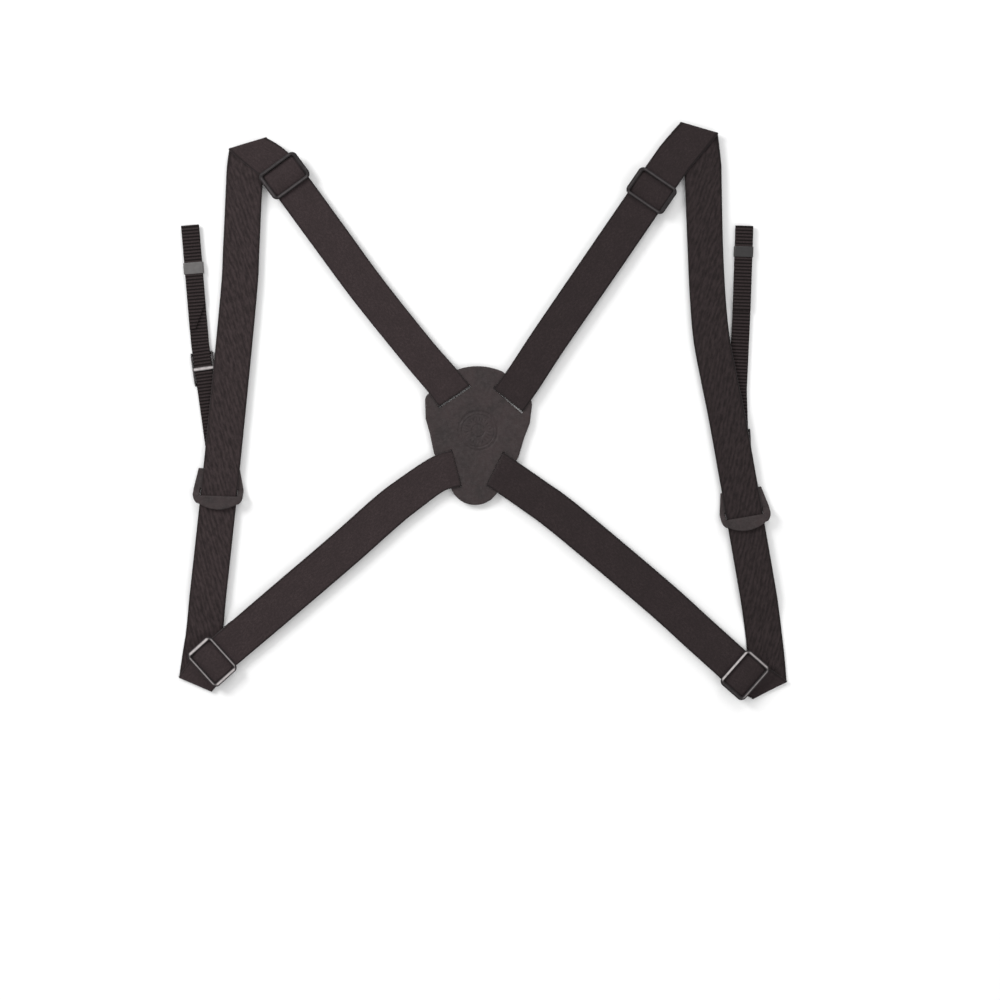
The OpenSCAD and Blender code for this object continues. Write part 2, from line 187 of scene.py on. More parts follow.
class WebbingSettings(bpy.types.PropertyGroup):
    colour: FloatVectorProperty(name="Webbing", description="Colour of the narrow webbing", subtype="COLOR",
                                default=(0.0195, 0.014, 0.0142), min=0, max=1)
    rib: FloatProperty(name="Rib", description="Distance between the ribs across the webbing", default=0.0022,
                       unit="LENGTH")
    thread: FloatVectorProperty(name="Thread", description="Colour of the sewing thread", subtype="COLOR",
                                default=(0.016, 0.0145, 0.0145), min=0, max=1)


class HardwareSettings(bpy.types.PropertyGroup):
    dark: FloatVectorProperty(name="Lacquer", description="Colour of the lacquered metal", subtype="COLOR",
                              default=(0.016, 0.0132, 0.0138), min=0, max=1)
    # Painted highlights: colours that stand in for the lamp's glints on the metal's bars and rails, dim on
    # the shoulder sliders and bright on the rest.
    dull: FloatVectorProperty(name="Upper Glints", description="Painted highlight on the bars and rails of the shoulder sliders",
                              subtype="COLOR", default=(0.075, 0.066, 0.068), min=0, max=1)
    bright: FloatVectorProperty(name="Lower Glints", description="Painted highlight on the bars and rails of the other metal",
                                subtype="COLOR", default=(0.5, 0.46, 0.46), min=0, max=1)
    # The left keeper's paler colour is a painted highlight; the right keeper's colour is the plastic's own.
    keeper_light: FloatVectorProperty(name="Left Keeper", description="Colour of the left keeper with its painted highlight",
                                      subtype="COLOR", default=(0.115, 0.109, 0.108), min=0, max=1)
    keeper_dark: FloatVectorProperty(name="Right Keeper", description="Colour of the right keeper",
                                     subtype="COLOR", default=(0.026, 0.024, 0.0245), min=0, max=1)
    bar: FloatProperty(name="Bar", description="Width of a slider's bars", default=0.0022, unit="LENGTH")


class StageSettings(bpy.types.PropertyGroup):
    table: FloatVectorProperty(name="Table", description="Colour of the table", subtype="COLOR",
                               default=(0.95, 0.95, 0.95), min=0, max=1)
    height: FloatProperty(name="Camera Height", description="Height of the camera over the table",
                          default=1.58, unit="LENGTH")
    lens: FloatProperty(name="Lens", description="Focal length in millimetres", default=85.0, subtype="NONE")
    soft: FloatProperty(name="Soft Light", description="Strength of the light from all round", default=0.62)
    lamp: FloatProperty(name="Lamp", description="Power of the main lamp", default=24.0, unit="POWER")


# --- geometry: curves through stations, plates and rings ---


def through(stations, step=1.5, straight_first=False):
    """Dense rows along a strap. Between two stations each value follows a cubic through its neighbours
    (half the sum of 2b, (c-a)u, (2a-5b+4c-d)uu and (3b-a-3c+d)uuu), and the last stretch is straight,
    as the first one is when asked."""
    if straight_first:
        lead = straight(stations[0], stations[1], step)
        return np.vstack([lead[:-1], through(stations[1:], step)])
    p = np.array(stations, float)
    rows = []
    for i in range(len(p) - 2):
        a, b, c, d = p[max(i - 1, 0)], p[i], p[i + 1], p[min(i + 2, len(p) - 2)]
        n = max(2, int(np.hypot(*(c - b)[:2]) / step))
        u = np.linspace(0, 1, n, endpoint=False)[:, None]
        squared, cubed = 2 * a - 5 * b + 4 * c - d, 3 * b - a - 3 * c + d
        rows.append(0.5 * (2 * b + (c - a) * u + squared * u**2 + cubed * u**3))
    rows.append(straight(p[-2], p[-1], step))
    return np.vstack(rows)


def straight(a, b, step):
    a, b = np.array(a, float), np.array(b, float)
    n = max(2, int(np.hypot(*(b - a)[:2]) / step) + 1)
    return a + (b - a) * np.linspace(0, 1, n)[:, None]


def unit(angle):
    """A unit vector in the plan at this angle in degrees, or one for each of many angles."""
    r = np.radians(angle)
    return np.stack([np.cos(r), np.sin(r), np.zeros_like(r)], -1)


def normalised(vectors):
    return vectors / np.linalg.norm(vectors, axis=-1, keepdims=True)


def flat_rows(rows, z, up):
    """(centres, half-width vectors, normals) of a strap that lies at height z, one for all rows or one for
    each, facing up or down."""
    c = np.column_stack([rows[:, 0], rows[:, 1], np.zeros(len(rows)) + z])
    across = unit(rows[:, 2]) * rows[:, 3:4] / 2
    ahead = np.gradient(c, axis=0)
    run = np.maximum(np.hypot(ahead[:, 0], ahead[:, 1]), 1e-9)
    slope = ahead[:, 2] / run
    normal = np.column_stack([-slope * ahead[:, 0] / run, -slope * ahead[:, 1] / run, np.ones(len(rows))])
    return c, across, normalised(normal) * (1.0 if up else -1.0)


def ease(x, start, end):
    """3tt - 2ttt, which goes smoothly from 0 at start to 1 at end."""
    t = np.clip((x - start) / (end - start), 0, 1)
    return t * t * (3 - 2 * t)


def main_height(corner, rows):
    """Height of a diagonal's middle: level, and at the lower corners down to the front strap past the
    slider."""
    if corner.startswith("upper"):
        return MAIN_Z
    centre, out = middle("slider_" + corner)[:2], unit(SLIDER_ANGLE[corner] + 90)[:2]
    return MAIN_Z + (MAIN_DEEP - MAIN_Z) * ease((rows[:, :2] - centre) @ out, 6.5, 14)


def turned_rows(station, outward, z0, z1, up, n=13):
    """The half circle by which a strap turns over at a fold: its middle goes from height z0 to z1 round an
    axis along the fold, and its normal turns with it, from up or down through outward."""
    mid, r = (z0 + z1) / 2, (z0 - z1) / 2
    t = np.linspace(0, np.pi, n)
    out = unit(outward)
    c = np.array([station[0], station[1], 0.0]) + np.outer(abs(r) * np.sin(t), out)
    c[:, 2] = mid + r * np.cos(t)
    across = np.tile(unit(station[2]) * station[3] / 2, (n, 1))
    sign = 1.0 if up else -1.0
    normal = np.outer(np.sin(t), out) + np.outer(sign * np.cos(t), [0, 0, 1])
    return c, across, normal


def join(*runs):
    return tuple(np.vstack(parts) for parts in zip(*runs))


def reverse(run):
    return tuple(part[::-1] for part in run)


def flip_across(run):
    return run[0], -run[1], run[2]


def spaced(n, edge_share=0.08):
    """n values from -1 to 1, closer together near both ends."""
    t = np.linspace(-1, 1, n)
    return np.sign(t) * (1 - (1 - np.abs(t)) ** (1 + edge_share * 8))


def plate(centre, across, normal, thickness, round_u=0.45, round_v=0.5, samples=15, relief=None,
          slant=None):
    """A closed thin plate carried along a path. The middle surface is centre + u * across for u from -1 to 1.
    Both faces stand off it by half the thickness times an elliptic edge factor, which falls to nothing at
    the two side edges (within round_u mm) and at the two ends (within round_v mm), where the faces meet.
    relief(s, w) adds to both faces' height, with s along and w across in millimetres. slant (length, start)
    cuts the far end on a slant from u = start to u = 1. Returns verts, faces, uv and the face side."""
    u = spaced(samples)
    s = np.concatenate([[0], np.cumsum(np.linalg.norm(np.diff(centre, axis=0), axis=1))])
    half = np.linalg.norm(across, axis=1)
    mid = centre[:, None, :] + u[None, :, None] * across[:, None, :]
    w = half[:, None] * u[None, :]
    along = s[:, None] + 0 * w
    if slant is not None:
        tangent = normalised(np.gradient(centre, axis=0))
        weight = np.clip((s - (s[-1] - 1.5 * slant[0])) / (1.5 * slant[0]), 0, 1)
        back = slant[0] * np.clip((u - slant[1]) / (1 - slant[1]), 0, 1)
        mid -= weight[:, None, None] * back[None, :, None] * tangent[:, None, :]
        along = along - weight[:, None] * back[None, :]
    side = half[:, None] * (1 - np.abs(u))[None, :]
    end = np.minimum(s, s[-1] - s)[:, None] + 0 * w
    e = np.minimum(edge_factor(side, round_u), edge_factor(end, round_v))
    rise = thickness / 2 * e
    extra = 0 if relief is None else relief(along, w) * e
    top = mid + normal[:, None, :] * (rise + extra)[:, :, None]
    bottom = mid - normal[:, None, :] * (rise + extra)[:, :, None]
    uv = np.stack([along, w], -1)
    return shell(top, bottom, uv)


def edge_factor(distance, radius):
    return np.sqrt(1 - (1 - np.clip(distance / radius, 0, 1)) ** 2)


def shell(top, bottom, uv):
    """Joins two grids of the same size, which meet along their border, into one closed mesh."""
    n, m = top.shape[:2]
    index = np.arange(n * m).reshape(n, m)
    inner = np.zeros((n, m), bool)
    inner[1:-1, 1:-1] = True
    below = index.copy()
    below[inner] = n * m + np.arange(inner.sum())
    verts = np.vstack([top.reshape(-1, 3), bottom[inner]])
    up = quads(index)
    down = quads(below)[:, ::-1]
    flat = uv.reshape(-1, 2)
    uvs = np.vstack([flat[up.ravel()], flat[quads(index)[:, ::-1].ravel()]])
    side = np.concatenate([np.zeros(len(up), int), np.ones(len(down), int)])
    return verts, np.vstack([up, down]), uvs, side


def sheet_with_hole(top, bottom, joined, gone):
    """Joins two grids wherever joined is true, and leaves out every face that touches a point that is
    gone."""
    n, m = joined.shape
    index = np.arange(n * m).reshape(n, m)
    below = np.where(joined, index, index + n * m)
    keep = ~(gone[:-1, :-1] | gone[1:, :-1] | gone[1:, 1:] | gone[:-1, 1:]).ravel()
    faces = np.vstack([quads(index)[keep], quads(below)[keep][:, ::-1]])
    used = np.unique(faces)
    place = np.zeros(2 * n * m, int)
    place[used] = np.arange(len(used))
    return np.vstack([top.reshape(-1, 3), bottom.reshape(-1, 3)])[used], place[faces]


def quads(index):
    a, b = index[:-1, :-1].ravel(), index[1:, :-1].ravel()
    c, d = index[1:, 1:].ravel(), index[:-1, 1:].ravel()
    return np.stack([a, b, c, d], -1)


def ring(path, out, binormal, profile):
    """A closed hoop: the closed profile (a, b) carried round a closed path, each point at
    path + a * out + b * binormal."""
    n, k = len(path), len(profile)
    verts = (path[:, None, :] + profile[None, :, :1] * out[:, None, :]
             + profile[None, :, 1:2] * np.asarray(binormal, float)[None, None, :])
    index = np.arange(n * k).reshape(n, k)
    a, b = index, np.roll(index, -1, 0)
    faces = np.stack([a, b, np.roll(b, -1, 1), np.roll(a, -1, 1)], -1).reshape(-1, 4)
    return verts.reshape(-1, 3), faces


def rounded_loop(w, l, r, n=96):
    """A rectangle w by l with corners of radius r, as points evenly spaced by angle round each corner, and
    the outward direction at each."""
    q = n // 4
    points, outs = [], []
    for k, (side_x, side_y) in enumerate(((1, 1), (-1, 1), (-1, -1), (1, -1))):
        t = np.radians(np.linspace(0, 90, q) + 90 * k)
        d = np.stack([np.cos(t), np.sin(t)], -1)
        points.append(np.array([side_x * (w / 2 - r), side_y * (l / 2 - r)]) + r * d)
        outs.append(d)
    return np.vstack(points), np.vstack(outs)


def section(width, height, power, n):
    """A rod's rounded section: |cos t| and |sin t| to a power below 1, which squares the ellipse off."""
    t = np.linspace(0, 2 * np.pi, n, endpoint=False)
    a = np.sign(np.cos(t)) * np.abs(np.cos(t)) ** power * width / 2
    b = np.sign(np.sin(t)) * np.abs(np.sin(t)) ** power * height / 2
    return np.stack([a, b], -1), t


def lump(size, power=5.0, rows=14, cols=28):
    """A rounded block: a superellipsoid with |x/a|^p + |y/b|^p + |z/c|^p = 1, from latitude and longitude."""
    lat = np.linspace(-np.pi / 2, np.pi / 2, rows)[1:-1]
    lon = np.linspace(0, 2 * np.pi, cols, endpoint=False)
    c, s = np.cos(lat)[:, None], np.sin(lat)[:, None] + 0 * lon
    d = np.stack([c * np.cos(lon), c * np.sin(lon), s], -1)
    d = np.concatenate([d.reshape(-1, 3), [[0, 0, -1], [0, 0, 1]]])
    scale = (np.abs(d) ** power).sum(1) ** (-1 / power)
    verts = d * scale[:, None] * np.array(size) / 2
    r = rows - 2
    index = np.arange(r * cols).reshape(r, cols)
    a, b = index[:-1], index[1:]
    faces = np.stack([a, np.roll(a, -1, 1), np.roll(b, -1, 1), b], -1).reshape(-1, 4).tolist()
    first, last = index[0], index[-1]
    south, north = r * cols, r * cols + 1
    faces += np.stack([np.roll(first, -1), first, np.full(cols, south)], -1).tolist()
    faces += np.stack([last, np.roll(last, -1), np.full(cols, north)], -1).tolist()
    return verts, faces


def placed(points, place):
    """Turns local points (x across, y outward) by the place's angle and moves them there."""
    x, y, angle = place
    c, s = np.cos(np.radians(angle)), np.sin(np.radians(angle))
    out = np.array(points, float)
    px, py = out[..., 0].copy(), out[..., 1].copy()
    out[..., 0] = x + c * px - s * py
    out[..., 1] = y + s * px + c * py
    return out


# --- meshes into Blender ---


def make(name, verts, faces, uv=None, slots=(), side=None, values=None):
    """A smooth-shaded object at the origin from millimetre points, with its UV map in centimetres."""
    mesh = bpy.data.meshes.new(name)
    mesh.from_pydata((np.asarray(verts) * MM).tolist(), [], [list(map(int, f)) for f in faces])
    for material in slots:
        mesh.materials.append(material)
    if uv is not None:
        layer = mesh.uv_layers.new(name="strap")
        layer.data.foreach_set("uv", (np.asarray(uv) * 0.1).ravel())
    if side is not None:
        mesh.polygons.foreach_set("material_index", np.asarray(side, np.int32))
    if values is not None:
        # The point values are painted highlight, standing in for the lamp's glints on the metal.
        attribute = mesh.attributes.new("painted_glint", "FLOAT", "POINT")
        attribute.data.foreach_set("value", np.asarray(values, np.float32))
    mesh.polygons.foreach_set("use_smooth", np.ones(len(mesh.polygons), bool))
    mesh.update()
    obj = bpy.data.objects.new(name, mesh)
    bpy.context.scene.collection.objects.link(obj)
    return obj


def strap(name, run, thickness, cloth, **shape):
    """A flat strap along a run, with one material on its face and the other on its back."""
    verts, faces, uv, side = plate(*run, thickness, **shape)
    return make(name, verts, faces, uv, cloth, side)


def gather(parts):
    """One mesh from several (verts, faces, values)."""
    verts, faces, values, start = [], [], [], 0
    for v, f, w in parts:
        verts.append(v)
        faces += [[int(i) + start for i in face] for face in f]
        values.append(w)
        start += len(v)
    return np.vstack(verts), faces, np.concatenate(values)


def facing_out(obj):
    """Turns every face of a closed mesh outwards."""
    work = bmesh.new()
    work.from_mesh(obj.data)
    bmesh.ops.recalc_face_normals(work, faces=work.faces)
    work.to_mesh(obj.data)
    work.free()
    return obj


# --- materials ---


class Tree:
    """A material's nodes, made one after another."""

    def __init__(self, name):
        self.material = bpy.data.materials.new("look_" + name)
        self.material.use_nodes = True
        self.nodes = self.material.node_tree.nodes
        self.links = self.material.node_tree.links
        self.shader = self.nodes["Principled BSDF"]

    def add(self, kind, inputs=None, **settings):
        node = self.nodes.new(kind)
        for key, value in settings.items():
            setattr(node, key, value)
        for key, value in (inputs or {}).items():
            self.put(value, node.inputs[key])
        return node

    def put(self, value, socket):
        if isinstance(value, bpy.types.NodeSocket):
            self.links.new(value, socket)
        else:
            socket.default_value = value

    def math(self, operation, a, b=0.0):
        node = self.add("ShaderNodeMath", operation=operation)
        self.put(a, node.inputs[0])
        self.put(b, node.inputs[1])
        return node.outputs[0]

    def ramp(self, value, low, high, to_low=0.0, to_high=1.0, kind="SMOOTHSTEP"):
        node = self.add("ShaderNodeMapRange", interpolation_type=kind)
        sockets = ("Value", "From Min", "From Max", "To Min", "To Max")
        for socket, v in zip(sockets, (value, low, high, to_low, to_high)):
            self.put(v, node.inputs[socket])
        return node.outputs["Result"]

    def mix(self, factor, a, b):
        node = self.add("ShaderNodeMix", data_type="RGBA")
        self.put(factor, node.inputs["Factor"])
        self.put(a, node.inputs[6])
        self.put(b, node.inputs[7])
        return node.outputs[2]

    def noise(self, vector, scale, detail=3.0, rough=0.6):
        inputs = {"Vector": vector, "Scale": scale, "Detail": detail, "Roughness": rough}
        return self.add("ShaderNodeTexNoise", inputs).outputs["Fac"]

    def stretched(self, vector, scale, turn=0.0):
        node = self.add("ShaderNodeMapping", {"Vector": vector})
        node.inputs["Scale"].default_value = scale
        node.inputs["Rotation"].default_value = (0, 0, np.radians(turn))
        return node.outputs[0]

    def finish(self, colour, rough, height=None, strength=0.5, distance=0.0003, **sockets):
        self.put(colour, self.shader.inputs["Base Color"])
        self.put(rough, self.shader.inputs["Roughness"])
        for key, value in sockets.items():
            self.shader.inputs[key.replace("_", " ")].default_value = value
        if height is not None:
            bump = self.add("ShaderNodeBump", {"Height": height, "Strength": strength, "Distance": distance})
            self.links.new(bump.outputs[0], self.shader.inputs["Normal"])
        return self.material


def tint(colour, factor):
    return (*[min(1.0, c * factor) for c in colour], 1.0)


def shaded_by_side(colour, settings, side):
    """The elastic's colour on one side, with painted shade that darkens the whole right strap."""
    return [c * (settings.right if side == "right" else 1.0) for c in colour]


def elastic_face(settings, side):
    """Matte knitted face. In UV units of a centimetre: loops under a millimetre, tufts of one to three, soft
    cloudy shading, and painted shade along each selvedge where the strap's edge rounds over, with the bump
    sunk there too."""
    t = Tree("elastic_face_" + side)
    face = shaded_by_side(settings.face, settings, side)
    uv = t.add("ShaderNodeUVMap", uv_map="strap").outputs[0]
    xyz = t.add("ShaderNodeSeparateXYZ", {"Vector": uv})
    across = t.math("ABSOLUTE", xyz.outputs[1])
    plush = t.noise(t.stretched(uv, (1.0, 1.3, 1.0)), 15.0, 4.0, 0.75)
    tuft = t.noise(t.stretched(uv, (1.0, 1.5, 1.0)), 5.0, 3.0, 0.65)
    cloud = t.noise(uv, 0.9, 2.0)
    columns = t.math("SINE", t.math("MULTIPLY", xyz.outputs[1], 2 * np.pi / 0.095))
    rows = t.math("SINE", t.math("MULTIPLY", xyz.outputs[0], 2 * np.pi / 0.075))
    knit = t.math("MULTIPLY", columns, rows)
    shade = t.mix(t.ramp(plush, 0.3, 0.7), tint(face, 0.6), tint(face, 1.4))
    shade = t.mix(t.ramp(tuft, 0.3, 0.7, 0.45, 1.0), tint(face, 0.75), shade)
    shade = t.mix(t.ramp(tuft, 0.4, 0.75, 0.0, 0.5), shade, tint(face, 1.55))
    shade = t.mix(t.ramp(cloud, 0.35, 0.65, 0.0, 0.4), shade, tint(face, 0.75))
    # Painted shade along the selvedges, where the edge rounds over.
    edge = t.ramp(across, 1.08, 1.16)
    shade = t.mix(t.math("MULTIPLY", edge, 0.6), shade, tint(face, 0.35))
    height = t.math("ADD", t.math("MULTIPLY", knit, 0.25), t.math("ADD", plush, tuft))
    height = t.math("SUBTRACT", height, t.math("MULTIPLY", edge, 0.5))
    return t.finish(shade, t.ramp(plush, 0.2, 0.8, 0.95, 0.8), height, 0.6, 0.0003,
                    Specular_IOR_Level=0.15, Sheen_Weight=0.08)


def elastic_reverse(settings, side):
    """Ribbed reverse. Slanted ribs are a sine of the distance across plus two fifths of that along, their
    strength broken up by noise stretched along the slant, with painted shade along the selvedges."""
    t = Tree("elastic_reverse_" + side)
    reverse_shaded = shaded_by_side(settings.reverse, settings, side)
    uv = t.add("ShaderNodeUVMap", uv_map="strap").outputs[0]
    xyz = t.add("ShaderNodeSeparateXYZ", {"Vector": uv})
    across = t.math("ABSOLUTE", xyz.outputs[1])
    slant = t.math("ADD", t.math("MULTIPLY", xyz.outputs[0], settings.slope), xyz.outputs[1])
    along = t.math("SUBTRACT", xyz.outputs[0], t.math("MULTIPLY", xyz.outputs[1], settings.slope))
    turned = t.add("ShaderNodeCombineXYZ", {"X": along, "Y": slant}).outputs[0]
    wander = t.math("MULTIPLY", t.noise(t.stretched(turned, (0.5, 1.2, 1.0)), 2.0, 3.0), 0.5)
    pitch = settings.rib_pitch * 100
    ribs = t.math("SINE", t.math("MULTIPLY", t.math("ADD", slant, wander), 2 * np.pi / pitch))
    streak = t.noise(t.stretched(turned, (0.9, 2.2, 1.0)), 1.9, 4.0, 0.7)
    fine = t.math("SINE", t.math("MULTIPLY", slant, 2 * np.pi / 0.07))
    speck = t.noise(uv, 16.0, 3.0, 0.75)
    mixed = t.math("ADD", t.math("MULTIPLY", ribs, 0.06), streak)
    shade = t.mix(t.ramp(mixed, 0.27, 0.73), tint(reverse_shaded, 0.5), tint(reverse_shaded, 1.6))
    shade = t.mix(t.ramp(speck, 0.4, 0.7, 0.0, 0.5), shade, tint(reverse_shaded, 1.25))
    # Painted shade along the selvedges, where the edge rounds over.
    edge = t.ramp(across, 1.05, 1.15)
    shade = t.mix(t.math("MULTIPLY", edge, 0.6), shade, tint(reverse_shaded, 0.4))
    height = t.math("ADD", t.math("MULTIPLY", ribs, 0.2), t.math("MULTIPLY", fine, 0.15))
    height = t.math("ADD", height, t.math("ADD", streak, speck))
    return t.finish(shade, 0.9, height, 0.55, 0.0003, Specular_IOR_Level=0.15, Sheen_Weight=0.08)


def leather(settings):
    """Matte leather: cells of the grain size in a bump with fine pores, a blotchy tone and paler rubbed
    spots."""
    t = Tree("leather")
    at = t.add("ShaderNodeTexCoord").outputs["Object"]
    cells = t.add("ShaderNodeTexVoronoi", {"Vector": at, "Scale": 1 / settings.grain}, feature="SMOOTH_F1")
    pores = t.noise(at, 1300.0, 3.0, 0.7)
    cloud = t.noise(at, 110.0, 3.0, 0.6)
    rubbed = t.noise(at, 420.0, 4.0, 0.75)
    shade = t.mix(t.ramp(cloud, 0.3, 0.7), tint(settings.colour, 0.95), tint(settings.warm, 1.08))
    shade = t.mix(t.ramp(rubbed, 0.42, 0.68, 0.0, 0.75), shade, tint(settings.colour, 1.5))
    shade = t.mix(t.ramp(pores, 0.5, 0.75, 0.0, 0.6), shade, tint(settings.colour, 0.5))
    height = t.math("ADD", t.math("MULTIPLY", cells.outputs["Distance"], 0.8), t.math("MULTIPLY", pores, 0.5))
    height = t.math("ADD", height, rubbed)
    return t.finish(shade, t.ramp(rubbed, 0.2, 0.8, 0.8, 0.55), height, 0.4, 0.0003, Specular_IOR_Level=0.22)


def narrow_webbing(settings):
    """Ribbed webbing: painted shade in the valleys between ribs across its length and painted light on the
    ribs' crests, each rib crossed by fine warp threads.
    """
    t = Tree("narrow_webbing")
    uv = t.add("ShaderNodeUVMap", uv_map="strap").outputs[0]
    xyz = t.add("ShaderNodeSeparateXYZ", {"Vector": uv})
    rib = t.math("COSINE", t.math("MULTIPLY", xyz.outputs[0], 2 * np.pi / (settings.rib * 100)))
    warp = t.math("SINE", t.math("MULTIPLY", xyz.outputs[1], 2 * np.pi / 0.11))
    fuzz = t.noise(uv, 14.0, 3.0, 0.7)
    # Painted shade in the rib valleys and painted light on the crests.
    shade = t.mix(t.ramp(rib, -0.8, 0.7), tint(settings.colour, 0.3), tint(settings.colour, 2.0))
    shade = t.mix(t.ramp(fuzz, 0.35, 0.65, 0.0, 0.6), shade, tint(settings.colour, 0.5))
    height = t.math("ADD", t.math("MULTIPLY", warp, 0.25), t.math("MULTIPLY", fuzz, 0.5))
    height = t.math("ADD", height, t.math("MULTIPLY", rib, 0.8))
    return t.finish(shade, t.ramp(rib, -1.0, 1.0, 0.95, 0.75), height, 0.6, 0.0004, Specular_IOR_Level=0.15)


def satin_metal(name, colour, rubbed):
    """Dark lacquered metal, with a paler painted highlight where the mesh's glint attribute says; the
    highlight stands in for the lamp's glints.
    """
    t = Tree(name)
    at = t.add("ShaderNodeTexCoord").outputs["Object"]
    painted_glint = t.add("ShaderNodeAttribute", attribute_name="painted_glint").outputs["Fac"]
    patch = t.noise(at, 420.0, 3.0, 0.6)
    painted_highlight = t.math("MULTIPLY", painted_glint, t.ramp(patch, 0.25, 0.55, 0.7, 1.0))
    shade = t.mix(t.ramp(patch, 0.3, 0.7), tint(colour, 0.75), tint(colour, 1.25))
    # Painted highlight: the paler colour laid on where the lamp would glint.
    shade = t.mix(painted_highlight, shade, tint(rubbed, 1.0))
    fine = t.noise(at, 2600.0, 2.0, 0.6)
    return t.finish(shade, t.ramp(patch, 0.3, 0.7, 0.4, 0.55), fine, 0.12, 0.0001, Specular_IOR_Level=0.2)


def moulded(name, colour):
    """Smooth moulded plastic with a faint orange-peel skin."""
    t = Tree(name)
    at = t.add("ShaderNodeTexCoord").outputs["Object"]
    cloud = t.noise(at, 300.0, 2.0, 0.5)
    shade = t.mix(t.ramp(cloud, 0.3, 0.7), tint(colour, 0.9), tint(colour, 1.1))
    return t.finish(shade, 0.3, t.noise(at, 1400.0, 2.0, 0.5), 0.08, 0.0001)


def sewing_thread(settings):
    t = Tree("thread")
    at = t.add("ShaderNodeTexCoord").outputs["Object"]
    twist = t.noise(at, 1800.0, 3.0, 0.7)
    shade = t.mix(t.ramp(twist, 0.3, 0.7), tint(settings.thread, 0.7), tint(settings.thread, 1.5))
    return t.finish(shade, 0.75, twist, 0.4, 0.0001)


def table_top(settings):
    t = Tree("table_top")
    at = t.add("ShaderNodeTexCoord").outputs["Object"]
    cloud = t.noise(at, 4.0, 2.0)
    shade = t.mix(t.ramp(cloud, 0.3, 0.7), tint(settings.table, 0.995), tint(settings.table, 1.005))
    return t.finish(shade, 0.9)


def material(name, maker, *args):
    """The named material, made the first time that it is asked for. The prefix keeps it apart from the
    solids' own."""
    return bpy.data.materials.get("look_" + name) or maker(*args)


def elastic_cloth(settings, side):
    """The materials of one side's elastic: its knitted face and its ribbed reverse."""
    return (material("elastic_face_" + side, elastic_face, settings, side),
            material("elastic_reverse_" + side, elastic_reverse, settings, side))


# --- the straps as paths ---


def corner_stations(corner):
    """The stations of a corner's diagonal, from its slot outwards."""
    row, side = corner.split("_")
    return (UPPER if row == "upper" else LOWER)[side]


def slot_turn(station):
    """The strap's way round the yoke's lip at a slot, from the under layer up through the slot and out over
    the yoke, in the slot's own plane: two quarter circles joined by an upright. Its face looks away from
    the lip all the way."""
    lip, r0, r1 = -0.75, 1.0, 1.15
    low, high = UNDER_Z, MAIN_Z
    a = np.linspace(-90, -180, 8)
    b = np.linspace(180, 90, 8)
    y = np.concatenate([lip + r0 + r0 * np.cos(np.radians(a)), lip + r1 + r1 * np.cos(np.radians(b))])
    z = np.concatenate([low + r0 + r0 * np.sin(np.radians(a)), high - r1 + r1 * np.sin(np.radians(b))])
    turn = np.concatenate([a, b])
    local = np.stack([0 * y, y, z], -1)
    centre = placed(local, station[:3])
    out = unit(station[2] + 90)
    normal = np.outer(np.cos(np.radians(turn)), out) + np.outer(np.sin(np.radians(turn)), [0, 0, 1])
    across = np.tile(unit(station[2]) * station[3] / 2, (len(y), 1))
    return centre, across, normal


def cut_near(rows, distance):
    """Drops the rows of a strap that are nearer to its first row than distance."""
    return rows[np.hypot(*(rows[:, :2] - rows[0, :2]).T) > distance]


def diagonal(corner):
    """From the end of the under layer, round the slot's lip and out to the fold."""
    stations = corner_stations(corner)
    side = corner.split("_")[1]
    rows = through(stations)
    lip = 1.4
    under = cut_near(rows[(rows[:, 0] - HINGE_X[side]) * np.sign(HINGE_X[side]) < 17], lip).copy()
    under[:, 3] = np.minimum(under[:, 3], 24.4)
    low = reverse(flat_rows(under, UNDER_Z, False))
    rows = cut_near(rows, lip)
    return join(low, slot_turn(stations[0]), flat_rows(rows, main_height(corner, rows), True))


def whole_elastic(side):
    """One side's elastic from end to end: upper diagonal, fold, front strap, fold, lower diagonal."""
    upper, lower = diagonal("upper_" + side), flip_across(diagonal("lower_" + side))
    front = FRONT[side]
    top, low = front[0], front[-1]
    turn_down = turned_rows(top, top[2] + 90, MAIN_Z, FRONT_Z, True)
    rows = through(front, straight_first=True)
    height = FRONT_DEEP + (FRONT_Z - FRONT_DEEP) * ease(rows[:, 1], -143, -120)
    face_down = flat_rows(rows, height, False)
    turn_up = turned_rows(low, low[2] - 90, FRONT_DEEP, MAIN_DEEP, False)
    return join(upper, turn_down, face_down, turn_up, reverse(lower))


def distinct(run, least=0.05):
    """Drops rows that repeat the one before."""
    step = np.linalg.norm(np.diff(run[0], axis=0), axis=1)
    keep = np.concatenate([[True], step > least])
    return tuple(part[keep] for part in run)


# --- operators ---


